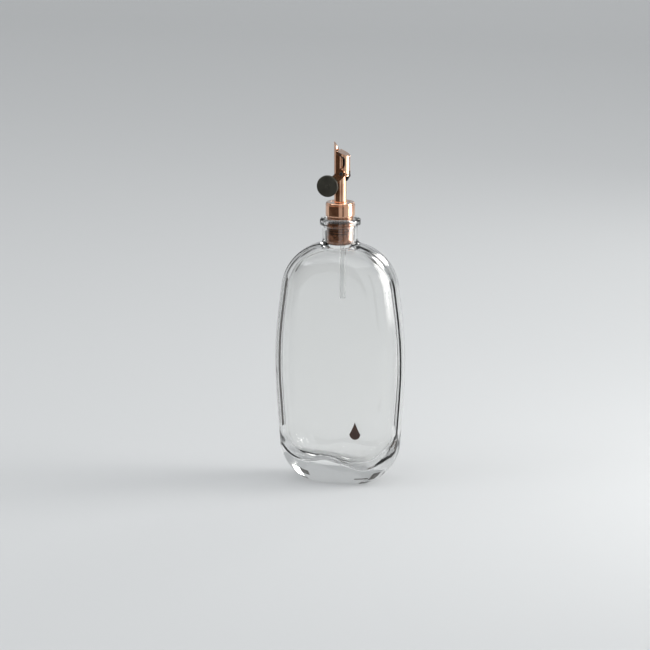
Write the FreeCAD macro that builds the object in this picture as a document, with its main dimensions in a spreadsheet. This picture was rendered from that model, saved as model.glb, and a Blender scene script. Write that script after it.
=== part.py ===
import FreeCAD, Part
import Sketcher
import math
import os

# Glass oil and vinegar bottle with a copper pourer whose weighted flap swings open.
# Z is up, the bottle stands on Z = 0, its broad face looks along -Y and the spout's
# beak points to -X.

os.makedirs("parts", exist_ok=True)
doc = FreeCAD.newDocument("pouring_bottle")
Vector = FreeCAD.Vector

sizes = [
    # glass: outline of the broad face, as the corners of a polygon that are then rounded
    ("body_width", 91.2),
    ("body_depth", 46.0),
    ("crown_height", 182.0),
    ("foot_share", 0.467),
    ("belly_share", 0.5414),
    ("belly_level", 0.54),
    ("shoulder_share", 0.436),
    ("shoulder_level", 0.9533),
    ("heel_radius", 33.5),
    ("belly_radius", 300.0),
    ("shoulder_radius", 37.0),
    ("edge_radius", 19.5),
    ("glass_wall", 4.5),
    ("glass_floor", 11.0),
    ("foot_flat", 2.0),
    ("punt_radius", 8.5),
    ("punt_rise", 1.5),
    ("rim_height", 198.0),
    ("neck_radius", 13.0),
    ("bore_radius", 10.0),
    ("lip_radius", 15.0),
    ("lip_height", 5.6),
    ("neck_blend", 3.5),
    # stopper, air tube and collar
    ("stopper_gap", 0.05),
    ("stopper_reach", 19.6),
    ("channel_radius", 4.4),
    ("groove_depth", 0.55),
    ("groove_width", 0.9),
    ("air_radius", 2.2),
    ("air_wall", 0.6),
    ("air_reach", 57.0),
    ("collar_radius", 10.9),
    ("collar_seat", 1.6),
    ("collar_height", 10.3),
    ("collar_round", 2.4),
    ("crease_depth", 0.35),
    # spout tube and its beak
    ("tube_radius", 4.6),
    ("tube_wall", 0.8),
    ("spout_rise", 56.2),
    ("beak_run", 3.1),
    ("beak_drop", 7.6),
    ("mouth_slope", 0.46),
    # hinge on the right of the tube
    ("hinge_reach", 1.4),
    ("hinge_rise", 32.9),
    ("pin_radius", 0.6),
    ("pin_play", 0.05),
    ("lug_radius", 1.3),
    ("tongue_thick", 2.6),
    ("tongue_play", 0.3),
    ("tongue_drop", 5.2),
    # flap: sheet hood, black lining, arm and weight
    ("hood_gap", 0.7),
    ("hood_shift", 1.5),
    ("hood_sheet", 0.5),
    ("lining_thick", 0.4),
    ("seal_thick", 0.9),
    ("seal_gap", 0.1),
    ("hood_foot", 1.3),
    ("hood_left", 1.9),
    ("lining_edge", 0.8),
    ("lobe_x", 2.5),
    ("lobe_rise", 33.8),
    ("lobe_radius", 3.1),
    ("arm_run", 9.9),
    ("arm_drop", 9.3),
    ("arm_width", 6.2),
    ("arm_thick", 1.0),
    ("weight_radius", 7.95),
    ("weight_thick", 2.8),
    ("weight_round", 0.7),
    ("rivet_radius", 1.3),
    ("rivet_head", 0.6),
]

sheet = doc.addObject("Spreadsheet::Sheet", "sizes")
for row, (alias, value) in enumerate(sizes, start=1):
    sheet.set("A%d" % row, alias.replace("_", " "))
    sheet.set("B%d" % row, str(value))
    sheet.setAlias("B%d" % row, alias)
doc.recompute()

aliases = sorted((alias for alias, value in sizes), key=len, reverse=True)


def bound(text):
    """The same expression with every alias read from the sheet."""
    words = []
    word = ""
    for letter in text + " ":
        if letter.isalnum() or letter == "_":
            word += letter
            continue
        words.append("sizes." + word if word in aliases else word)
        words.append(letter)
        word = ""
    return "".join(words).strip()


def plane(body, role):
    for feature in body.Origin.OriginFeatures:
        if feature.Role == role:
            return feature


def new_body(name):
    return doc.addObject("PartDesign::Body", name)


def new_sketch(body, role, name, offset=None):
    sketch = body.newObject("Sketcher::SketchObject", name)
    sketch.AttachmentSupport = (plane(body, role), [""])
    sketch.MapMode = "FlatFace"
    if offset:
        sketch.setExpression("AttachmentOffset.Base.z", bound(offset))
    return sketch


def place_point(sketch, point, position, text, axis):
    """Hold a point at a signed distance from the sketch's origin."""
    if text == "0":
        line = -2 if axis == "X" else -1
        sketch.addConstraint(Sketcher.Constraint("PointOnObject", point, position, line))
        return
    kind = "Distance" + axis
    if text.startswith("-"):
        made = Sketcher.Constraint(kind, point, position, -1, 1, 1.0)
        text = text[1:].strip()
    else:
        made = Sketcher.Constraint(kind, -1, 1, point, position, 1.0)
    index = sketch.addConstraint(made)
    sketch.setExpression("Constraints[%d]" % index, bound(text))


def outline(body, role, name, corners, offset=None):
    """Closed outline through corners (x, y, radius), each given as text."""
    sketch = new_sketch(body, role, name, offset)
    points = []
    for number, (x, y, radius) in enumerate(corners):
        turn = 2 * math.pi * number / len(corners)
        start = Part.Point(Vector(20 * math.cos(turn), 20 * math.sin(turn), 0))
        point = sketch.addGeometry(start, True)
        place_point(sketch, point, 1, x, "X")
        place_point(sketch, point, 1, y, "Y")
        points.append(point)
    doc.recompute()
    spots = [Vector(sketch.Geometry[p].X, sketch.Geometry[p].Y, 0) for p in points]
    count = len(corners)
    cuts = []
    for number in range(count):
        here = spots[number]
        back = (spots[number - 1] - here).normalize()
        ahead = (spots[(number + 1) % count] - here).normalize()
        radius = corners[number][2]
        if not radius:
            cuts.append((here, here, None, None))
            continue
        size = sheet_value(sketch, radius)
        half = back.getAngle(ahead) / 2
        reach = size / math.tan(half)
        middle = here + (back + ahead).normalize() * (size / math.sin(half))
        left_turn = back.cross(ahead).z < 0
        cuts.append((here + back * reach, here + ahead * reach, middle, left_turn))
    lines = []
    for number in range(count):
        start = cuts[number][1]
        end = cuts[(number + 1) % count][0]
        lines.append(sketch.addGeometry(Part.LineSegment(start, end), False))
    for number in range(count):
        before = lines[number - 1]
        after = lines[number]
        into, out, middle, left_turn = cuts[number]
        if middle is None:
            sketch.addConstraint(Sketcher.Constraint("Coincident", before, 2, points[number], 1))
            sketch.addConstraint(Sketcher.Constraint("Coincident", after, 1, points[number], 1))
            continue
        first, last = (into, out) if left_turn else (out, into)
        size = (into - middle).Length
        angles = [math.atan2(spot.y - middle.y, spot.x - middle.x) for spot in (first, last)]
        circle = Part.Circle(middle, Vector(0, 0, 1), size)
        arc = sketch.addGeometry(Part.ArcOfCircle(circle, angles[0], angles[1]), False)
        ends = (1, 2) if left_turn else (2, 1)
        sketch.addConstraint(Sketcher.Constraint("Tangent", before, 2, arc, ends[0]))
        sketch.addConstraint(Sketcher.Constraint("Tangent", arc, ends[1], after, 1))
        sketch.addConstraint(Sketcher.Constraint("PointOnObject", points[number], 1, before))
        sketch.addConstraint(Sketcher.Constraint("PointOnObject", points[number], 1, after))
        index = sketch.addConstraint(Sketcher.Constraint("Radius", arc, size))
        sketch.setExpression("Constraints[%d]" % index, bound(corners[number][2]))
    doc.recompute()
    return sketch


def sheet_value(sketch, text):
    """The number an expression gives, read from a spare length of the document."""
    ruler.setExpression("Length", bound(text))
    doc.recompute([ruler])
    return float(ruler.Length)


ruler = doc.addObject("Part::Box", "ruler")


def circles(body, role, name, rings, offset=None):
    """Circles (x, y, radius) in one sketch."""
    sketch = new_sketch(body, role, name, offset)
    for x, y, radius in rings:
        circle = sketch.addGeometry(Part.Circle(Vector(1, 1, 0), Vector(0, 0, 1), 1), False)
        place_point(sketch, circle, 3, x, "X")
        place_point(sketch, circle, 3, y, "Y")
        index = sketch.addConstraint(Sketcher.Constraint("Radius", circle, 1.0))
        sketch.setExpression("Constraints[%d]" % index, bound(radius))
    doc.recompute()
    return sketch


def pad(body, sketch, name, length, midplane=False):
    feature = body.newObject("PartDesign::Pad", name)
    feature.Profile = sketch
    feature.Midplane = midplane
    feature.setExpression("Length", bound(length))
    doc.recompute()
    return feature


def through_cut(body, sketch, name, length):
    """Pocket that cuts both ways from the sketch's plane."""
    feature = body.newObject("PartDesign::Pocket", name)
    feature.Profile = sketch
    feature.Midplane = True
    feature.setExpression("Length", bound(length))
    doc.recompute()
    return feature


def turned(body, sketch, name, kind="PartDesign::Revolution"):
    feature = body.newObject(kind, name)
    feature.Profile = sketch
    feature.ReferenceAxis = (sketch, ["V_Axis"])
    feature.Angle = 360.0
    doc.recompute()
    return feature


def rounded(body, base, name, edges, radius):
    feature = body.newObject("PartDesign::Fillet", name)
    feature.Base = (base, edges)
    feature.setExpression("Radius", bound(radius))
    doc.recompute()
    return feature


def face_edges(shape):
    """Edges that lie in the front or the back plane of a slab."""
    box = shape.BoundBox
    names = []
    for number, edge in enumerate(shape.Edges, start=1):
        reach = edge.BoundBox
        flat = reach.YMax - reach.YMin < 0.001
        outer = min(abs(reach.YMax - box.YMax), abs(reach.YMin - box.YMin)) < 0.001
        if flat and outer:
            names.append("Edge%d" % number)
    return names


def boolean(kind, name, first, second):
    feature = doc.addObject("Part::" + kind, name)
    feature.Base = first
    feature.Tool = second
    feature.Refine = True
    doc.recompute()
    return feature


def slab_outline(inset, floor, roof):
    """Right and left corners of the broad face, drawn in by the wall."""
    lean = "(belly_share - foot_share) / (crown_height * belly_level)"
    foot = "body_width * (foot_share + (%s) * %s) - %s" % (floor, lean, inset)
    belly = "body_width * belly_share - %s" % inset
    shoulder = "body_width * shoulder_share - 0.9 * %s" % inset
    belly_z = "crown_height * belly_level"
    shoulder_z = "crown_height * shoulder_level - 0.76 * %s" % inset
    heel = "heel_radius - %s" % inset
    run = "(%s - glass_floor - heel_radius + glass_wall)" % belly_z
    inward = "(belly_share - shoulder_share) / (crown_height * (shoulder_level - belly_level))"
    side = "min(belly_radius; 2 * %s / (body_width * (%s + %s))) - %s" % (run, lean, inward, inset)
    turn = "shoulder_radius - %s" % inset
    return [
        (foot, floor, heel),
        (belly, belly_z, side),
        (shoulder, shoulder_z, turn),
        ("0", roof, "3 * bore_radius"),
        ("-(%s)" % shoulder, shoulder_z, turn),
        ("-(%s)" % belly, belly_z, side),
        ("-(%s)" % foot, floor, heel),
    ]


# ---- glass bottle: a slab with soft edges, a neck with a lip, and the room inside ----
shell = new_body("glass_outside")
face = outline(shell, "XZ_Plane", "broad_face",
               slab_outline("0", "-(foot_flat)", "crown_height"))
slab = pad(shell, face, "slab", "body_depth", True)
soft = rounded(shell, slab, "soft_edges", face_edges(slab.Shape), "edge_radius")
neck_profile = outline(shell, "XZ_Plane", "neck_profile", [
    ("0", "crown_height - 20", None),
    ("neck_radius", "crown_height - 20", None),
    ("neck_radius", "rim_height - lip_height", "lip_height / 6"),
    ("lip_radius", "rim_height - lip_height + 0.7", "lip_height / 5"),
    ("lip_radius", "rim_height", "lip_height / 2.6"),
    ("0", "rim_height", None),
])
neck = turned(shell, neck_profile, "neck")
root = []
for number, edge in enumerate(neck.Shape.Edges, start=1):
    middle = edge.valueAt((edge.FirstParameter + edge.LastParameter) / 2)
    away = math.hypot(middle.x, middle.y)
    level = middle.z / float(sheet.crown_height)
    if abs(away - float(sheet.neck_radius)) < 0.01 and 0.93 < level < 1.01:
        if edge.BoundBox.ZMax < float(sheet.crown_height) + 1:
            root.append("Edge%d" % number)
blend = rounded(shell, neck, "neck_blend", root, "neck_blend")
sole = outline(shell, "XZ_Plane", "sole", [
    ("-(body_width)", "0", None),
    ("body_width", "0", None),
    ("body_width", "-(2 * foot_flat)", None),
    ("-(body_width)", "-(2 * foot_flat)", None),
])
through_cut(shell, sole, "sole_cut", "2 * body_depth")
punt_profile = outline(shell, "XZ_Plane", "punt_profile", [
    ("0", "-1", None),
    ("punt_radius + 0.4", "-1", None),
    ("punt_radius - 0.6", "punt_rise * 0.5", "punt_rise"),
    ("0", "punt_rise", None),
])
punt = turned(shell, punt_profile, "punt", "PartDesign::Groove")

room = new_body("glass_inside")
room_face = outline(room, "XZ_Plane", "room_face",
                    slab_outline("glass_wall", "glass_floor", "crown_height - 1.05 * glass_wall"))
room_slab = pad(room, room_face, "room_slab", "body_depth - 2 * glass_wall", True)
room_soft = rounded(room, room_slab, "room_edges", face_edges(room_slab.Shape),
                    "edge_radius - glass_wall")
bore_profile = outline(room, "XZ_Plane", "bore_profile", [
    ("0", "crown_height - 30", None),
    ("bore_radius", "crown_height - 30", None),
    ("bore_radius", "rim_height - 0.8", "1.5"),
    ("bore_radius + 1.4", "rim_height + 1", None),
    ("0", "rim_height + 1", None),
])
bore = turned(room, bore_profile, "bore")

glass = boolean("Cut", "glass_bottle", shell, room)

# ---- stopper: ringed plug in the neck with the pouring channel through it ----
stopper = new_body("stopper")
plug = "bore_radius - stopper_gap"
groove = "bore_radius - stopper_gap - groove_depth"
foot = "rim_height - stopper_reach"
top = "rim_height + collar_seat"
edges = [
    ("channel_radius", foot, None),
    (plug, foot, "1.6"),
]
for drop in ("10.9", "9.1", "7.3", "2.9"):
    low = "rim_height - %s" % drop
    high = "rim_height - %s + groove_width" % drop
    edges.append((plug, low, None))
    edges.append((groove, low, None))
    edges.append((groove, high, None))
    edges.append((plug, high, None))
edges.append((plug, top, None))
edges.append(("channel_radius", top, None))
turned(stopper, outline(stopper, "XZ_Plane", "plug_profile", edges), "plug")

# ---- air tube hanging from the stopper, on the side away from the beak ----
air = new_body("air_tube")
air_x = "channel_radius - air_radius - 0.02"
air_rings = circles(air, "XY_Plane", "air_rings", [
    (air_x, "0", "air_radius"),
    (air_x, "0", "air_radius - air_wall"),
], "rim_height - stopper_reach - air_reach + 17")
pad(air, air_rings, "air_pipe", "air_reach")

# ---- collar: drawn cup that closes the stopper off above the rim ----
collar = new_body("collar")
low = "rim_height + collar_seat"
high = "rim_height + collar_seat + collar_height"
collar_profile = outline(collar, "XZ_Plane", "collar_profile", [
    ("tube_radius", low, None),
    ("collar_radius - 0.3", low, "0.25"),
    ("collar_radius", low + " + 0.8", "0.8"),
    ("collar_radius", high + " - 1.9", None),
    ("collar_radius - crease_depth", high + " - 1.75", None),
    ("collar_radius - crease_depth", high + " - 1.35", None),
    ("collar_radius - 0.3", high + " - 1.2", None),
    ("collar_radius - 0.6", high, "0.9"),
    ("tube_radius + 2.6", high, "0.4"),
    ("tube_radius + 2.2", high + " - 0.4", "0.3"),
    ("tube_radius", high + " - 0.4", None),
])
turned(collar, collar_profile, "cup")

# ---- spout tube: thin pipe cut to a beak on the left and a sloping mouth on the right ----
tube = new_body("spout_tube")
tip = "rim_height + spout_rise"
pipe_rings = circles(tube, "XY_Plane", "pipe_rings", [
    ("0", "0", "tube_radius"),
    ("0", "0", "tube_radius - tube_wall"),
], "rim_height + collar_seat")
pad(tube, pipe_rings, "pipe", "spout_rise - collar_seat")
mouth_x = "tube_radius - beak_run"
mouth = outline(tube, "XZ_Plane", "mouth_line", [
    ("-(tube_radius)", tip, None),
    ("-(%s)" % mouth_x, tip + " - beak_drop", "1.2"),
    ("tube_radius + 1", tip + " - beak_drop - mouth_slope * (2 * tube_radius + 1 - beak_run)", None),
    ("tube_radius + 1", tip + " + 1", None),
    ("-(tube_radius)", tip + " + 1", None),
])
through_cut(tube, mouth, "beak_cut", "2 * tube_radius + 2")

# ---- hinge bracket: black gusset on the right of the tube, with the pin through it ----
bracket_body = new_body("bracket_plate")
hinge_x = "tube_radius + hinge_reach"
hinge_z = "rim_height + hinge_rise"
bracket_side = outline(bracket_body, "XZ_Plane", "bracket_side", [
    ("tube_radius - 0.6", hinge_z + " - tongue_drop", None),
    ("tube_radius + 0.7", hinge_z + " - tongue_drop", "0.4"),
    (hinge_x + " + 1.5", hinge_z + " - 1.6", "0.5"),
    (hinge_x + " + 1.0", hinge_z + " + 1.1", "0.9"),
    ("tube_radius - 0.6", hinge_z + " + 1.1", None),
])
pad(bracket_body, bracket_side, "gusset", "tongue_thick", True)
tube_space = doc.addObject("Part::Cylinder", "tube_space")
tube_space.setExpression("Radius", bound("tube_radius"))
tube_space.setExpression("Height", bound("rim_height + spout_rise"))
pin_hole = doc.addObject("Part::Cylinder", "pin_hole")
pin_hole.setExpression("Radius", bound("pin_radius"))
pin_hole.Height = 20
pin_hole.Placement = FreeCAD.Placement(Vector(0, 10, 0), FreeCAD.Rotation(Vector(1, 0, 0), 90))
pin_hole.setExpression("Placement.Base.x", bound(hinge_x))
pin_hole.setExpression("Placement.Base.z", bound(hinge_z))
bracket_open = boolean("Cut", "bracket_open", bracket_body, tube_space)
bracket = boolean("Cut", "hinge_bracket", bracket_open, pin_hole)

pin = new_body("hinge_pin")
pin_ring = circles(pin, "XZ_Plane", "pin_ring", [(hinge_x, hinge_z, "pin_radius")])
pad(pin, pin_ring, "pin_bar", "2 * 3.6", True)

# ---- flap hood: sheet shell round the right of the tube, closed by a sloping roof ----
hood_side = new_body("hood_side")
hood_outer = "(tube_radius + hood_gap + hood_sheet)"
spine_x = "hood_shift + " + hood_outer
roof_left = tip + " - beak_drop + seal_thick + seal_gap + hood_sheet + 0.35"
roof_run = "(hood_left + hood_shift + %s)" % hood_outer
roof_right = roof_left + " - mouth_slope * " + roof_run
hood_low = hinge_z + " - hood_foot"
lobe_z = "rim_height + lobe_rise"
side_line = outline(hood_side, "XZ_Plane", "side_line", [
    ("-(hood_left)", roof_left, "0.5"),
    ("-(hood_left - 0.5)", roof_left + " - 1.5", "0.3"),
    ("hood_shift + 3.4", roof_left + " - 5.2", "2.2"),
    ("hood_shift + 3.4", roof_left + " - 11.0", "3"),
    ("lobe_x + 0.6", lobe_z + " + lobe_radius + 0.6", "0.8"),
    ("lobe_x - lobe_radius", lobe_z + " + lobe_radius", "lobe_radius - 0.1"),
    ("lobe_x - lobe_radius", hood_low, "lobe_radius - 1.2"),
    (spine_x, hood_low, None),
    (spine_x, roof_right, "0.9"),
])
pad(hood_side, side_line, "side_slab", "2 * %s + 2" % hood_outer, True)


def u_block(name, radius, low, length):
    """Upright block with a half-round right end, open to the left."""
    body = new_body(name)
    ends = outline(body, "XY_Plane", name + "_plan", [
        ("hood_shift + %s" % radius, "-(%s)" % radius, "%s - 0.02" % radius),
        ("hood_shift + %s" % radius, radius, "%s - 0.02" % radius),
        ("-(hood_left + 3)", radius, None),
        ("-(hood_left + 3)", "-(%s)" % radius, None),
    ], low)
    pad(body, ends, name + "_block", length)
    return body


def sloped(body, name, top_left):
    """Cut a block off along the slope of the mouth."""
    cut = outline(body, "XZ_Plane", name, [
        ("-(hood_left + 4)", top_left + " + mouth_slope * 4", None),
        (spine_x + " + 2", top_left + " - mouth_slope * (" + roof_run + " + 2)", None),
        (spine_x + " + 2", top_left + " + 12", None),
        ("-(hood_left + 4)", top_left + " + 12", None),
    ])
    through_cut(body, cut, name + "_cut", "2 * %s + 4" % hood_outer)


block_low = hinge_z + " - hood_foot - 1"
block_long = "spout_rise - hinge_rise + 6"
hood_block = u_block("hood_block", hood_outer, block_low, block_long)
hood_room = u_block("hood_room", "(tube_radius + hood_gap)", block_low, block_long)
sloped(hood_room, "hood_roof", roof_left + " - hood_sheet * 1.1")
hood_solid = boolean("Common", "hood_solid", hood_side, hood_block)
hood_shell = boolean("Cut", "hood_shell", hood_solid, hood_room)

lug_bar = new_body("lug_bar")
lug_ring = circles(lug_bar, "XZ_Plane", "lug_ring", [(hinge_x, hinge_z, "lug_radius")])
pad(lug_bar, lug_ring, "lug_round", "2 * " + hood_outer, True)
lugs = boolean("Common", "lugs", lug_bar, hood_block)
hood_joined = boolean("Fuse", "hood_joined", hood_shell, lugs)
slot = new_body("slot")
slot_line = outline(slot, "XZ_Plane", "slot_line", [
    (hinge_x + " - 2.2", hinge_z + " - 6", None),
    (hinge_x + " + 4", hinge_z + " - 6", None),
    (hinge_x + " + 4", hinge_z + " + 2.3", None),
    (hinge_x + " - 2.2", hinge_z + " + 2.3", None),
])
pad(slot, slot_line, "slot_block", "tongue_thick + 2 * tongue_play", True)
hood_slotted = boolean("Cut", "hood_slotted", hood_joined, slot)
lug_bore = doc.addObject("Part::Cylinder", "lug_bore")
lug_bore.setExpression("Radius", bound("pin_radius + pin_play"))
lug_bore.Height = 20
lug_bore.Placement = FreeCAD.Placement(Vector(0, 10, 0), FreeCAD.Rotation(Vector(1, 0, 0), 90))
lug_bore.setExpression("Placement.Base.x", bound(hinge_x))
lug_bore.setExpression("Placement.Base.z", bound(hinge_z))
hood = boolean("Cut", "flap_hood", hood_slotted, lug_bore)

# ---- black lining of the hood: seals the mouth and shows as a dark edge ----
lining_side = new_body("lining_side")
lining_low = lobe_z + " + lobe_radius + 0.6"
lining_line = outline(lining_side, "XZ_Plane", "lining_line", [
    ("-(hood_left - 0.6)", roof_left + " - 0.3", None),
    ("-(hood_left - 0.9)", roof_left + " - 2.3", "0.3"),
    ("hood_shift + 3.4 - lining_edge", roof_left + " - 6.0", "1.8"),
    ("hood_shift + 3.4 - lining_edge", roof_left + " - 11.2", "2.6"),
    ("lobe_x + 1", lining_low, None),
    (spine_x, lining_low, None),
    (spine_x, roof_left + " - 0.3", None),
])
pad(lining_side, lining_line, "lining_slab", "2 * %s + 2" % hood_outer, True)
lining_block = u_block("lining_block", "(tube_radius + hood_gap)", block_low, block_long)
sloped(lining_block, "lining_roof", roof_left + " - hood_sheet * 1.1")
lining_room = u_block("lining_room", "(tube_radius + hood_gap - lining_thick)",
                      block_low, block_long)
sloped(lining_room, "lining_ceiling", roof_left + " - (hood_sheet + seal_thick) * 1.1")
lining_solid = boolean("Common", "lining_solid", lining_side, lining_block)
lining = boolean("Cut", "flap_seal", lining_solid, lining_room)

# ---- arm on the near side, from the hood's lobe down to the weight ----
arm_long = "sqrt(arm_run ^ 2 + arm_drop ^ 2)"
ahead_x = "arm_run / %s" % arm_long
ahead_z = "arm_drop / %s" % arm_long
half = "arm_width / 2"
arm = new_body("weight_arm")
arm_line = outline(arm, "XZ_Plane", "arm_line", [
    ("lobe_x + 2.8 * %s - %s * %s" % (ahead_x, half, ahead_z),
     "%s + 2.8 * %s + %s * %s" % (lobe_z, ahead_z, half, ahead_x), "arm_width * 0.46"),
    ("-(arm_run + 2.8 * %s + %s * %s - lobe_x)" % (ahead_x, half, ahead_z),
     "%s - arm_drop - 2.8 * %s + %s * %s" % (lobe_z, ahead_z, half, ahead_x), "arm_width * 0.46"),
    ("-(arm_run + 2.8 * %s - %s * %s - lobe_x)" % (ahead_x, half, ahead_z),
     "%s - arm_drop - 2.8 * %s - %s * %s" % (lobe_z, ahead_z, half, ahead_x), "arm_width * 0.46"),
    ("lobe_x + 2.8 * %s + %s * %s" % (ahead_x, half, ahead_z),
     "%s + 2.8 * %s - %s * %s" % (lobe_z, ahead_z, half, ahead_x), "arm_width * 0.46"),
], hood_outer)
pad(arm, arm_line, "arm_plate", "arm_thick")

weight_x = "-(arm_run - lobe_x)"
weight_z = lobe_z + " - arm_drop"
weight = new_body("weight_disc")
weight_ring = circles(weight, "XZ_Plane", "weight_ring", [
    (weight_x, weight_z, "weight_radius"),
], hood_outer + " + arm_thick")
puck = pad(weight, weight_ring, "puck", "weight_thick")
rims = ["Edge%d" % number for number, edge in enumerate(puck.Shape.Edges, start=1)
        if edge.Curve.TypeId == "Part::GeomCircle"]
rounded(weight, puck, "puck_round", rims, "weight_round")


def rivet(name, x, z, offset, radius, head):
    """Flat button head."""
    body = new_body(name)
    ring = circles(body, "XZ_Plane", name + "_ring", [(x, z, radius)], offset)
    button = pad(body, ring, name + "_button", head)
    outer = min(edge.BoundBox.YMin for edge in button.Shape.Edges)
    names = ["Edge%d" % number for number, edge in enumerate(button.Shape.Edges, start=1)
             if edge.BoundBox.YMax - outer < 0.001]
    rounded(body, button, name + "_soft", names, head + " * 0.6")
    return body


weight_rivet = rivet("weight_rivet", weight_x, weight_z,
                     hood_outer + " + arm_thick + weight_thick", "rivet_radius", "rivet_head")
arm_rivet = rivet("arm_rivet", "lobe_x", lobe_z, hood_outer + " + arm_thick",
                  "rivet_radius", "rivet_head")

doc.removeObject("ruler")
doc.recompute()

nodes = [glass, stopper, air, collar, tube, bracket, pin, hood, lining, arm, arm_rivet,
         weight, weight_rivet]
for thing in doc.Objects:
    for flaw in ("Invalid", "Error"):
        if flaw in thing.State:
            raise RuntimeError("%s is %s" % (thing.Name, flaw))
for node in nodes:
    node.Label = node.Name
    shape = node.Shape
    if shape.isNull() or not shape.isValid() or len(shape.Solids) != 1:
        raise RuntimeError("%s is not one valid solid: %d" % (node.Name, len(shape.Solids)))
    shape.exportStep("parts/%s.step" % node.Name)
    box = shape.BoundBox
    print("%-14s %9.1f mm3  x %.2f %.2f  y %.2f %.2f  z %.2f %.2f" % (
        node.Name, shape.Volume, box.XMin, box.XMax, box.YMin, box.YMax, box.ZMin, box.ZMax))
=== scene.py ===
import math
import bmesh
import bpy
from mathutils import Matrix, Vector


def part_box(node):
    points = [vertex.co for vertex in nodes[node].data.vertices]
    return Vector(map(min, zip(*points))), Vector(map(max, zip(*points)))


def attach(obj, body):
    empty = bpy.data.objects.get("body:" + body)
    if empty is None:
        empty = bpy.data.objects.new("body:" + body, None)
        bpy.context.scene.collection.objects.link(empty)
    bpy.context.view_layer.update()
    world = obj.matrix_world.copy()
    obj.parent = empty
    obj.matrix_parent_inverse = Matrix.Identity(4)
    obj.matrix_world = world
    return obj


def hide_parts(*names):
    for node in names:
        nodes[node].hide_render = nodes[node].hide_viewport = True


# Clear glass oil and vinegar bottle with a copper pourer whose weighted flap falls shut

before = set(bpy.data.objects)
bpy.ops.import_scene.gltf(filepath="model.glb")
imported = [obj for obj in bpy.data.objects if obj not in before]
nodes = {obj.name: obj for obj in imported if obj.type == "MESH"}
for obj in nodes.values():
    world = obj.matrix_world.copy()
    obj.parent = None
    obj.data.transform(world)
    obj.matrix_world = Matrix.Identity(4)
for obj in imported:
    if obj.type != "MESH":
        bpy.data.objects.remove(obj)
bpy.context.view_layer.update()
print("frame loaded:", len(nodes), "solids")


# camera: long lens, a little above the bottle and to the right of its broad face

cameraSet = {
    "turn": 16.0,            # degrees round from straight in front
    "lift": 12.9,            # degrees above level
    "away": 2.66,            # metres
    "lens": 200.0,           # mm on a 36 mm sensor
    "sideStep": -0.0112,     # metres that the aim lies to the right of the bottle's middle
    "lookHeight": 0.1174,
}


def placeCamera(s):
    turn, lift = math.radians(s["turn"]), math.radians(s["lift"])
    aim = Vector((s["sideStep"] * math.cos(turn), s["sideStep"] * math.sin(turn), s["lookHeight"]))
    back = Vector((
        math.sin(turn) * math.cos(lift), -math.cos(turn) * math.cos(lift), math.sin(lift)))
    data = bpy.data.cameras.new("camera")
    data.lens = s["lens"]
    data.sensor_width = 36.0
    data.clip_start = 0.05
    data.clip_end = 60.0
    camera = bpy.data.objects.new("camera", data)
    camera.location = aim + back * s["away"]
    camera.rotation_euler = back.to_track_quat("Z", "Y").to_euler()
    bpy.context.scene.collection.objects.link(camera)
    bpy.context.scene.camera = camera


placeCamera(cameraSet)
print("camera placed")


# helpers for objects and for the nodes of materials

noiseBand = (0.35, 0.65)    # most of a noise's values lie between these two


def placed(name, mesh):
    data = bpy.data.meshes.new(name)
    mesh.to_mesh(data)
    mesh.free()
    made = bpy.data.objects.new(name, data)
    bpy.context.scene.collection.objects.link(made)
    return made


def newMaterial(name):
    material = bpy.data.materials.new(name)
    material.use_nodes = True
    tree = material.node_tree
    shader = tree.nodes["Principled BSDF"]
    coords = tree.nodes.new("ShaderNodeTexCoord")
    return material, tree, shader, coords.outputs["Object"]


def stretched(tree, coords, scale):
    mapping = tree.nodes.new("ShaderNodeMapping")
    mapping.inputs["Scale"].default_value = scale
    tree.links.new(coords, mapping.inputs["Vector"])
    return mapping.outputs["Vector"]


def heightOf(tree, coords):
    parts = tree.nodes.new("ShaderNodeSeparateXYZ")
    tree.links.new(coords, parts.inputs["Vector"])
    return parts.outputs["Z"]


def noise(tree, vector, scale, detail, rough):
    node = tree.nodes.new("ShaderNodeTexNoise")
    node.inputs["Scale"].default_value = scale
    node.inputs["Detail"].default_value = detail
    node.inputs["Roughness"].default_value = rough
    tree.links.new(vector, node.inputs["Vector"])
    return node.outputs["Fac"]


def spread(tree, value, low, high, band=noiseBand):
    node = tree.nodes.new("ShaderNodeMapRange")
    node.inputs["From Min"].default_value, node.inputs["From Max"].default_value = band
    node.inputs["To Min"].default_value = low
    node.inputs["To Max"].default_value = high
    tree.links.new(value, node.inputs["Value"])
    return node.outputs["Result"]


def twoTone(tree, value, first, second):
    ramp = tree.nodes.new("ShaderNodeValToRGB")
    for stop, place, tone in zip(ramp.color_ramp.elements, noiseBand, (first, second)):
        stop.position = place
        stop.color = (*tone, 1)
    tree.links.new(value, ramp.inputs["Fac"])
    return ramp.outputs["Color"]


def worked(tree, operation, *values):
    # a sum on sockets and plain numbers, in the order of the math node's inputs
    node = tree.nodes.new("ShaderNodeMath")
    node.operation = operation
    for slot, value in zip(node.inputs, values):
        if isinstance(value, bpy.types.NodeSocket):
            tree.links.new(value, slot)
        else:
            slot.default_value = value
    return node.outputs["Value"]


def added(tree, first, second, share):
    return worked(tree, "MULTIPLY_ADD", second, share, first)


def blended(tree, share, first, second):
    mix = tree.nodes.new("ShaderNodeMixShader")
    tree.links.new(share, mix.inputs["Fac"])
    tree.links.new(first, mix.inputs[1])
    tree.links.new(second, mix.inputs[2])
    return mix.outputs["Shader"]


def bumped(tree, shader, height, depth, strength=1.0):
    node = tree.nodes.new("ShaderNodeBump")
    node.inputs["Strength"].default_value = strength
    node.inputs["Distance"].default_value = depth
    tree.links.new(height, node.inputs["Height"])
    tree.links.new(node.outputs["Normal"], shader.inputs["Normal"])


# glass: pressed and fire polished, so its skin is smooth but a little wavy

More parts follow.
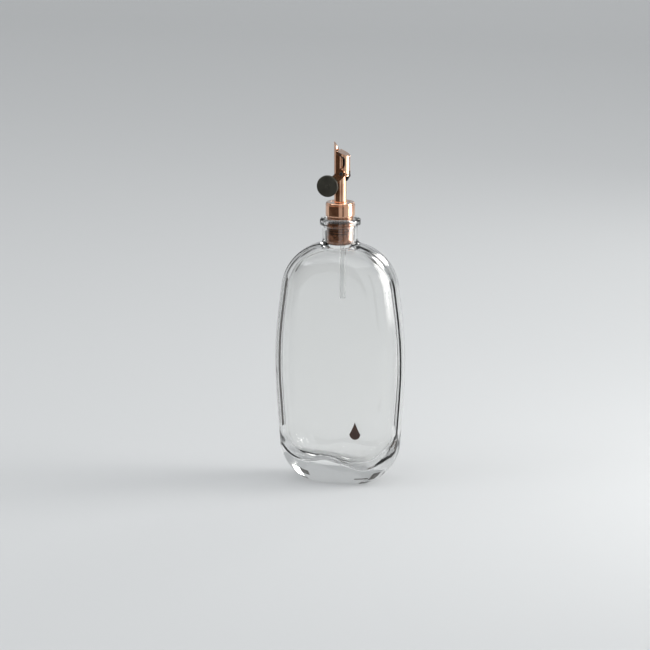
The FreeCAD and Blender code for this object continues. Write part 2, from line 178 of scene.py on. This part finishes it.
glassSet = {
    "tint": (0.962, 0.964, 0.957),
    "ior": 1.50,
    "wave": 0.00006,
    "waveSize": 30.0,
    "waveStretch": 0.35,      # the waves are longer upwards
    "speckShare": 0.004,
    "smear": 0.025,           # roughness where hands have touched it
    "smearBand": (0.45, 0.8),
}


def glassMaterial(s):
    material, tree, shader, coords = newMaterial("clearGlass")
    shader.inputs["Transmission Weight"].default_value = 1.0
    shader.inputs["IOR"].default_value = s["ior"]
    shader.inputs["Base Color"].default_value = (*s["tint"], 1)
    tall = stretched(tree, coords, (1.0, 1.0, s["waveStretch"]))
    waves = noise(tree, tall, s["waveSize"], detail=2.0, rough=0.35)
    smears = noise(tree, coords, scale=55.0, detail=4.0, rough=0.6)
    specks = noise(tree, coords, scale=900.0, detail=2.0, rough=0.5)
    rough = spread(tree, smears, 0.0, s["smear"], s["smearBand"])
    tree.links.new(rough, shader.inputs["Roughness"])
    bumped(tree, shader, added(tree, waves, specks, s["speckShare"]), s["wave"])
    return material


# copper: plated and lacquered, drawn marks run round or along the piece

copperSet = {
    "light": (0.82, 0.475, 0.305),
    "deep": (0.62, 0.31, 0.18),
    "gloss": 0.09,
    "dull": 0.19,
    "dullBand": (0.4, 0.9),
    "coat": 1.0,
    "coatRough": 0.08,
    "markTone": 0.15,         # how much the drawn marks show in the colour
    "markDull": 0.3,          # and in the gloss
    "markDepth": 0.000012,
    "tube": {"grain": (1.0, 1.0, 0.06), "streak": 900.0},
    "ring": {"grain": (0.08, 0.08, 1.0), "streak": 1600.0},
}


def copperMaterial(name, s, drawn):
    material, tree, shader, coords = newMaterial(name)
    along = stretched(tree, coords, drawn["grain"])
    lines = noise(tree, along, drawn["streak"], detail=5.0, rough=0.65)
    clouds = noise(tree, coords, scale=140.0, detail=3.0, rough=0.55)
    tone = twoTone(tree, added(tree, clouds, lines, s["markTone"]), s["deep"], s["light"])
    marked = added(tree, clouds, lines, s["markDull"])
    rough = spread(tree, marked, s["gloss"], s["dull"], s["dullBand"])
    tree.links.new(tone, shader.inputs["Base Color"])
    tree.links.new(rough, shader.inputs["Roughness"])
    shader.inputs["Metallic"].default_value = 1.0
    shader.inputs["Coat Weight"].default_value = s["coat"]
    shader.inputs["Coat Roughness"].default_value = s["coatRough"]
    bumped(tree, shader, lines, s["markDepth"])
    return material


# stopper: copper-coloured plug, with painted shade in the grooves that run round it

plugSet = {
    "deep": (0.22, 0.088, 0.042),
    "light": (0.42, 0.195, 0.105),
    # painted shade laid into the grooves
    "groove": (0.07, 0.028, 0.015),
    "gloss": 0.20,
    "dull": 0.34,
    "metal": 0.85,
    "coat": 1.0,
    "coatRough": 0.12,
    "grainDepth": 0.00003,
    "grooves": (0.19555, 0.19115, 0.18935, 0.18755),    # heights
    "half": 0.00050,          # half the width of a groove
    "soft": 0.4,              # share of that half over which the painted groove shade fades, either way
}


def plugMaterial(s):
    material, tree, shader, coords = newMaterial("plugCopper")
    shader.inputs["Metallic"].default_value = s["metal"]
    shader.inputs["Coat Weight"].default_value = s["coat"]
    shader.inputs["Coat Roughness"].default_value = s["coatRough"]
    clouds = noise(tree, coords, scale=260.0, detail=4.0, rough=0.6)
    height = heightOf(tree, coords)
    apart = [worked(tree, "ABSOLUTE", worked(tree, "SUBTRACT", height, level))
             for level in s["grooves"]]
    nearest = apart[0]
    for other in apart[1:]:
        nearest = worked(tree, "MINIMUM", nearest, other)
    fade = (s["half"] * (1 - s["soft"]), s["half"] * (1 + s["soft"]))
    # the grooves get a darker colour: painted shade where the plug is cut in
    mix = tree.nodes.new("ShaderNodeMix")
    mix.data_type = "RGBA"
    tree.links.new(spread(tree, nearest, 1.0, 0.0, fade), mix.inputs["Factor"])
    # of a mix node's sockets, 6 and 7 take the two colours and 2 gives the mixed one
    tree.links.new(twoTone(tree, clouds, s["deep"], s["light"]), mix.inputs[6])
    mix.inputs[7].default_value = (*s["groove"], 1)
    tree.links.new(mix.outputs[2], shader.inputs["Base Color"])
    tree.links.new(spread(tree, clouds, s["gloss"], s["dull"]), shader.inputs["Roughness"])
    grain = noise(tree, coords, scale=1400.0, detail=3.0, rough=0.6)
    bumped(tree, shader, grain, s["grainDepth"])
    return material


# black pieces: coated weight, moulded plastic and rubber

weightSet = {
    "first": (0.020, 0.019, 0.012), "second": (0.032, 0.030, 0.020),
    "gloss": 0.42, "dull": 0.60, "grain": 2600.0, "grainDepth": 0.00002, "metal": 0.2,
}
mouldedSet = {
    "first": (0.010, 0.010, 0.010), "second": (0.018, 0.017, 0.016),
    "gloss": 0.34, "dull": 0.52, "grain": 1800.0, "grainDepth": 0.00002, "metal": 0.0,
}
sealSet = {
    "first": (0.012, 0.012, 0.012), "second": (0.020, 0.019, 0.018),
    "gloss": 0.55, "dull": 0.75, "grain": 1500.0, "grainDepth": 0.00002, "metal": 0.0,
}


def darkMaterial(name, s):
    material, tree, shader, coords = newMaterial(name)
    shader.inputs["Metallic"].default_value = s["metal"]
    clouds = noise(tree, coords, scale=180.0, detail=4.0, rough=0.6)
    tone = twoTone(tree, clouds, s["first"], s["second"])
    tree.links.new(tone, shader.inputs["Base Color"])
    tree.links.new(spread(tree, clouds, s["gloss"], s["dull"]), shader.inputs["Roughness"])
    grain = noise(tree, coords, s["grain"], detail=3.0, rough=0.6)
    bumped(tree, shader, grain, s["grainDepth"])
    return material


# air tube: thin drawn plastic, so it bends light far less than the glass

airTubeSet = {
    "clear": 0.94,
    "ior": 1.16,
    "first": (0.93, 0.94, 0.94),
    "second": (0.98, 0.98, 0.98),
    "gloss": 0.04,
    "dull": 0.14,
    "drawn": (1, 1, 0.1),
    "drawnDepth": 0.00001,
}


def airTubeMaterial(s):
    material, tree, shader, coords = newMaterial("airTubePlastic")
    shader.inputs["Transmission Weight"].default_value = s["clear"]
    shader.inputs["IOR"].default_value = s["ior"]
    along = stretched(tree, coords, s["drawn"])
    clouds = noise(tree, along, scale=420.0, detail=3.0, rough=0.5)
    tone = twoTone(tree, clouds, s["first"], s["second"])
    tree.links.new(tone, shader.inputs["Base Color"])
    tree.links.new(spread(tree, clouds, s["gloss"], s["dull"]), shader.inputs["Roughness"])
    bumped(tree, shader, clouds, s["drawnDepth"])
    return material


clearGlass = glassMaterial(glassSet)
tubeCopper = copperMaterial("tubeCopper", copperSet, copperSet["tube"])
ringCopper = copperMaterial("ringCopper", copperSet, copperSet["ring"])
plugCopper = plugMaterial(plugSet)
weightBlack = darkMaterial("weightBlack", weightSet)
mouldedBlack = darkMaterial("mouldedBlack", mouldedSet)
sealRubber = darkMaterial("sealRubber", sealSet)
airTubePlastic = airTubeMaterial(airTubeSet)

coats = {
    "glass_bottle": clearGlass,
    "stopper": plugCopper,
    "air_tube": airTubePlastic,
    "collar": ringCopper,
    "spout_tube": tubeCopper,
    "hinge_bracket": mouldedBlack,
    "hinge_pin": tubeCopper,
    "flap_hood": tubeCopper,
    "flap_seal": sealRubber,
    "weight_arm": tubeCopper,
    "arm_rivet": mouldedBlack,
    "weight_disc": weightBlack,
    "weight_rivet": weightBlack,
}

for name, material in coats.items():
    for slot in nodes[name].material_slots:
        slot.material = material
    if not nodes[name].material_slots:
        nodes[name].data.materials.append(material)
print("solids dressed")


# the glass as it was pressed: the same bottle, with the uneven swell that its inner floor sets with

floorSet = {
    "heart": (0, 0, 0.09),    # a point well inside the hollow
    "rise": 0.0052,           # of the swell over the flat floor
    "middle": -0.005,
    "half": 0.017,
    "lean": 0.4,              # the swell runs a little slantwise from front to back
    "ripple": 0.00025,
    "rippleLength": 0.021,
    "floor": 0.011,
    "still": 0.046,           # height at which the walls are even again
    "step": 0.0026,           # longest edge that is left uncut
    "cuts": 5,                # most times that an edge is halved
    "weld": 0.000001,
    "nudge": 0.00001,         # distance over which the slope is taken
}


def unevenGlass(s):
    source = nodes["glass_bottle"].data
    data = source.copy()
    data.name = "pressedGlass"
    # the solid's own shading is kept in a layer, and leans with the floor as that rises
    skin = data.attributes.new("skinNormal", "FLOAT_VECTOR", "CORNER")
    for corner, normal in zip(skin.data, source.corner_normals):
        corner.vector = normal.vector
    mesh = bmesh.new()
    mesh.from_mesh(data)
    bmesh.ops.remove_doubles(mesh, verts=mesh.verts[:], dist=s["weld"])
    heart = Vector(s["heart"])

    def hollowFaces():
        return [face for face in mesh.faces
                if face.calc_center_median().z < s["still"]
                and face.normal.dot(face.calc_center_median() - heart) < 0]

    for cut in range(s["cuts"]):
        tooLong = {edge for face in hollowFaces() for edge in face.edges
                   if edge.calc_length() > s["step"]}
        bmesh.ops.subdivide_edges(mesh, edges=list(tooLong), cuts=1)
        many = [face for face in mesh.faces if len(face.verts) > 3]
        bmesh.ops.triangulate(mesh, faces=many)

    def swell(point):
        across = (point.x - s["middle"] - s["lean"] * point.y) / s["half"]
        turns = (point.x + point.y) / s["rippleLength"]
        ripple = s["ripple"] * math.sin(2 * math.pi * turns)
        share = min(max((s["still"] - point.z) / (s["still"] - s["floor"]), 0.0), 1.0)
        return (s["rise"] * math.exp(-across ** 2) + ripple) * share ** 2 * (3 - 2 * share)

    near = s["nudge"]
    steps = (Vector((near, 0, 0)), Vector((0, near, 0)), Vector((0, 0, near)))

    def leaned(normal, point):
        slope = Vector([(swell(point + step) - swell(point - step)) / (2 * near) for step in steps])
        up = normal.z / (1 + slope.z)
        return Vector((normal.x - slope.x * up, normal.y - slope.y * up, up)).normalized()

    layer = mesh.loops.layers.float_vector["skinNormal"]
    hollow = hollowFaces()
    for face in hollow:
        for loop in face.loops:
            loop[layer] = leaned(Vector(loop[layer]), loop.vert.co)
    moved = {vert: swell(vert.co) for face in hollow for vert in face.verts}
    for vert, rise in moved.items():
        vert.co.z += rise
    mesh.to_mesh(data)
    mesh.free()
    skin = data.attributes["skinNormal"]
    normals = [Vector(corner.vector).normalized() for corner in skin.data]
    data.attributes.remove(skin)
    data.normals_split_custom_set(normals)
    glass = bpy.data.objects.new("pressedGlass", data)
    bpy.context.scene.collection.objects.link(glass)
    return glass


pressedGlass = unevenGlass(floorSet)
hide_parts("glass_bottle")
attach(pressedGlass, "bottle")
print("glass floor pressed:", len(pressedGlass.data.polygons), "faces")


# printed drop on the broad face, low and to the right

dropSet = {
    "x": 0.0177,
    "z": 0.0412,
    "radius": 0.0041,
    "rise": 0.0092,           # from the middle of the round part to the tip
    "taper": 0.55,
    "pull": 2.2,
    "segments": 96,
    "thick": 0.00005,
    "sink": 0.00001,
}
inkSet = {
    "first": (0.040, 0.018, 0.012), "second": (0.060, 0.028, 0.018),
    "gloss": 0.38, "dull": 0.55, "grain": 1200.0, "grainDepth": 0.000004, "metal": 0.0,
}


def printedDrop(s):
    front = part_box("glass_bottle")[0].y
    mesh = bmesh.new()
    bmesh.ops.create_circle(mesh, cap_ends=True, segments=s["segments"], radius=s["radius"])
    for vert in mesh.verts:
        up = min(max(vert.co.y / s["radius"], 0.0), 1.0)
        vert.co.x *= (1 - up) ** s["taper"]
        vert.co.y += (s["rise"] - s["radius"]) * up ** s["pull"]
    made = bmesh.ops.extrude_face_region(mesh, geom=mesh.faces[:])
    lifted = [part for part in made["geom"] if isinstance(part, bmesh.types.BMVert)]
    bmesh.ops.translate(mesh, verts=lifted, vec=(0, 0, s["thick"] + s["sink"]))
    bmesh.ops.recalc_face_normals(mesh, faces=mesh.faces[:])
    upright = Matrix.Rotation(math.radians(90), 3, "X")
    bmesh.ops.rotate(mesh, verts=mesh.verts[:], cent=(0, 0, 0), matrix=upright)
    bmesh.ops.translate(mesh, verts=mesh.verts[:], vec=(s["x"], front + s["sink"], s["z"]))
    return placed("printedDrop", mesh)


drop = printedDrop(dropSet)
drop.data.materials.append(darkMaterial("printInk", inkSet))
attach(drop, "bottle")
print("drop printed on the front")


# studio: pale floor that curves up behind, soft window light from the right

studioSet = {
    "floorTone": (0.60, 0.615, 0.625),
    "floorHalf": 4.0,
    "bendStart": 2.2,
    "bendRadius": 0.8,
    "bendSteps": 24,
    "wallHeight": 3.0,
    "weld": 0.0001,
    "glow": 0.42,             # share of the floor's light that is its plain tone
    "worldTone": (0.60, 0.615, 0.625),
    "worldLight": 0.55,
}


def seenBare(tree):
    # one for what the lens, a mirror or glass looks at, so that all three show the same pale ground
    light = tree.nodes.new("ShaderNodeLightPath")
    seen = light.outputs["Is Camera Ray"]
    for name in ("Is Glossy Ray", "Is Transmission Ray"):
        seen = worked(tree, "MAXIMUM", seen, light.outputs[name])
    return seen


def paleMaterial(name, s):
    # part of the light is the plain tone itself, the rest still takes a shadow
    material, tree, shader, coords = newMaterial(name)
    grain = noise(tree, coords, scale=60.0, detail=4.0, rough=0.6)
    tree.links.new(spread(tree, grain, 0.85, 0.95), shader.inputs["Roughness"])
    shader.inputs["Base Color"].default_value = (*s["floorTone"], 1)
    shader.inputs["Specular IOR Level"].default_value = 0.1
    bumped(tree, shader, grain, 0.0002, strength=0.3)
    emission = tree.nodes.new("ShaderNodeEmission")
    emission.inputs["Color"].default_value = (*s["floorTone"], 1)
    emission.inputs["Strength"].default_value = 1.0
    share = worked(tree, "MULTIPLY", seenBare(tree), s["glow"])
    both = blended(tree, share, shader.outputs["BSDF"], emission.outputs["Emission"])
    tree.links.new(both, tree.nodes["Material Output"].inputs["Surface"])
    return material


def sweep(s):
    mesh = bmesh.new()
    half, start, radius = s["floorHalf"], s["bendStart"], s["bendRadius"]
    mesh.edges.new([mesh.verts.new((-half, -half, 0)), mesh.verts.new((-half, start, 0))])
    bend = mesh.verts.new((-half, start, 0))
    spun = bmesh.ops.spin(
        mesh, geom=[bend], cent=(0, start, radius), axis=(1, 0, 0),
        angle=math.radians(90), steps=s["bendSteps"])
    top = mesh.verts.new((-half, start + radius, s["wallHeight"]))
    last = [part for part in spun["geom_last"] if isinstance(part, bmesh.types.BMVert)][0]
    mesh.edges.new((last, top))
    bmesh.ops.remove_doubles(mesh, verts=mesh.verts[:], dist=s["weld"])
    made = bmesh.ops.extrude_edge_only(mesh, edges=mesh.edges[:])
    moved = [part for part in made["geom"] if isinstance(part, bmesh.types.BMVert)]
    bmesh.ops.translate(mesh, verts=moved, vec=(2 * half, 0, 0))
    bmesh.ops.recalc_face_normals(mesh, faces=mesh.faces[:])
    for face in mesh.faces:
        face.smooth = True
    sheet = placed("sweep", mesh)
    sheet.data.materials.append(paleMaterial("paleSweep", s))


def worldLight(s):
    world = bpy.data.worlds.new("studioWorld")
    bpy.context.scene.world = world
    world.use_nodes = True
    tree = world.node_tree
    room = tree.nodes["Background"]
    room.inputs["Color"].default_value = (*s["worldTone"], 1)
    room.inputs["Strength"].default_value = s["worldLight"]
    shown = tree.nodes.new("ShaderNodeBackground")
    shown.inputs["Color"].default_value = (*s["floorTone"], 1)
    both = blended(
        tree, seenBare(tree), room.outputs["Background"], shown.outputs["Background"])
    tree.links.new(both, tree.nodes["World Output"].inputs["Surface"])


bpy.context.scene.view_settings.view_transform = "Standard"
sweep(studioSet)
worldLight(studioSet)
print("studio set")


# lamps: soft boxes at "spot" that face "aim", in metres and watts

lampSet = {
    "windowRight": {
        "spot": (1.25, 0.55, 0.85), "aim": (0, 0, 0.13),
        "wide": 0.7, "tall": 1.0, "watts": 16.0, "tone": (1.0, 0.985, 0.96)},
    "panelRight": {
        "spot": (0.62, 0.10, 0.275), "aim": (0, 0, 0.275),
        "wide": 0.30, "tall": 0.45, "watts": 3.2, "tone": (1.0, 0.985, 0.96)},
    "windowBehind": {
        "spot": (0.30, 1.05, 0.56), "aim": (0, 0, 0.23),
        "wide": 0.26, "tall": 0.36, "watts": 1.5, "tone": (1.0, 0.985, 0.96)},
    "skyOverhead": {
        "spot": (-0.2, -0.3, 1.9), "aim": (0, 0, 0.13),
        "wide": 3.2, "tall": 3.0, "watts": 27.0, "tone": (1.0, 1.0, 1.0)},
    "fillLeft": {
        "spot": (-1.4, -0.9, 0.7), "aim": (0, 0, 0.13),
        "wide": 0.9, "tall": 1.2, "watts": 7.0, "tone": (0.97, 0.98, 1.0)},
}


def softBox(name, s):
    data = bpy.data.lights.new(name, "AREA")
    data.shape = "RECTANGLE"
    data.size = s["wide"]
    data.size_y = s["tall"]
    data.energy = s["watts"]
    data.color = s["tone"]
    light = bpy.data.objects.new(name, data)
    light.location = s["spot"]
    facing = (Vector(s["spot"]) - Vector(s["aim"])).to_track_quat("Z", "Y")
    light.rotation_euler = facing.to_euler()
    light.visible_camera = False
    bpy.context.scene.collection.objects.link(light)


for name, lamp in lampSet.items():
    softBox(name, lamp)
print("lamps hung:", len(lampSet))


# cloths of the screens. "fade" gives the heights at which a cloth is gone and is full again, so
# that its edge doesn't show as a line in the glass

darkClothSet = {
    "first": (0.020, 0.018, 0.016), "second": (0.045, 0.040, 0.034),
    "gloss": 0.9, "dull": 1.0, "grain": 900.0, "grainDepth": 0.0002, "metal": 0.0,
}
brownClothSet = {
    "first": (0.03, 0.018, 0.010), "second": (0.06, 0.036, 0.020),
    "gloss": 0.9, "dull": 1.0, "grain": 900.0, "grainDepth": 0.0002, "metal": 0.0,
    "fade": (0.045, 0.085),
}
paleClothSet = {
    "floorTone": studioSet["floorTone"],
    "glow": studioSet["glow"],
    "fade": (0.15, 0.105),
}


def fadeOut(cloth, band):
    tree = cloth.node_tree
    surface = tree.nodes["Material Output"].inputs["Surface"]
    woven = surface.links[0].from_socket
    coords = tree.nodes.new("ShaderNodeTexCoord")
    clear = tree.nodes.new("ShaderNodeBsdfTransparent")
    full = spread(tree, heightOf(tree, coords.outputs["Object"]), 0.0, 1.0, band)
    tree.links.new(blended(tree, full, clear.outputs["BSDF"], woven), surface)


cloths = {
    "dark": darkMaterial("darkCloth", darkClothSet),
    "brown": darkMaterial("brownCloth", brownClothSet),
    "pale": paleMaterial("paleCloth", paleClothSet),
}
fadeOut(cloths["brown"], brownClothSet["fade"])
fadeOut(cloths["pale"], paleClothSet["fade"])


# screens bent round the bottle: the dark ones draw the dark lines in the glass and the dark side of
# the copper, and the pale one keeps the lamp on the right out of the lower half of the glass.
# Directions go clockwise from straight behind, and "past" moves the middle of the bend sideways

screenSteps = 24
screenSet = {
    "rightPaleScreen": {
        "start": 50.0, "end": 112.0, "radius": 0.12, "past": 0.043,
        "low": 0.004, "high": 0.15, "cloth": "pale"},
    "leftScreen": {
        "start": -74.0, "end": -50.0, "radius": 0.12, "past": -0.045,
        "low": 0.004, "high": 0.158, "cloth": "dark"},
    "rightScreen": {
        "start": 25.0, "end": 37.0, "radius": 0.12, "past": 0.043,
        "low": 0.004, "high": 0.165, "cloth": "dark"},
    "frontLeftScreen": {
        "start": 176.0, "end": 262.0, "radius": 0.50, "past": 0.0,
        "low": 0.004, "high": 0.42, "cloth": "brown"},
    "frontRightScreen": {
        "start": 138.0, "end": 148.0, "radius": 0.50, "past": 0.0,
        "low": 0.004, "high": 0.42, "cloth": "brown"},
    "footLeftScreen": {
        "start": -48.0, "end": -35.0, "radius": 0.50, "past": 0.0,
        "low": 0.13, "high": 0.27, "cloth": "dark"},
    "footMiddleScreen": {
        "start": -33.0, "end": -20.0, "radius": 0.50, "past": 0.0,
        "low": 0.205, "high": 0.235, "cloth": "dark"},
    "footRightScreen": {
        "start": -3.0, "end": 8.0, "radius": 0.50, "past": 0.0,
        "low": 0.16, "high": 0.25, "cloth": "dark"},
    "shoulderLeftScreen": {
        "start": -50.0, "end": -30.0, "radius": 0.50, "past": 0.0,
        "low": 0.33, "high": 0.42, "cloth": "dark"},
    "shoulderRightScreen": {
        "start": 3.0, "end": 14.0, "radius": 0.50, "past": 0.0,
        "low": 0.36, "high": 0.50, "cloth": "dark"},
}


def bentScreen(name, s):
    mesh = bmesh.new()
    start = math.radians(s["start"])
    way = Vector((math.sin(start), math.cos(start), 0)) * s["radius"]
    line = [mesh.verts.new((way.x, way.y, height)) for height in (s["low"], s["high"])]
    edge = mesh.edges.new(line)
    bmesh.ops.spin(
        mesh, geom=line + [edge], cent=(0, 0, 0), axis=(0, 0, -1),
        angle=math.radians(s["end"] - s["start"]), steps=screenSteps, use_merge=False)
    bmesh.ops.translate(mesh, verts=mesh.verts[:], vec=(s["past"], 0, 0))
    screen = placed(name, mesh)
    screen.visible_camera = False
    screen.visible_shadow = False
    screen.visible_diffuse = False
    screen.data.materials.append(cloths[s["cloth"]])


for name, screen in screenSet.items():
    bentScreen(name, screen)
print("screens set:", len(screenSet))
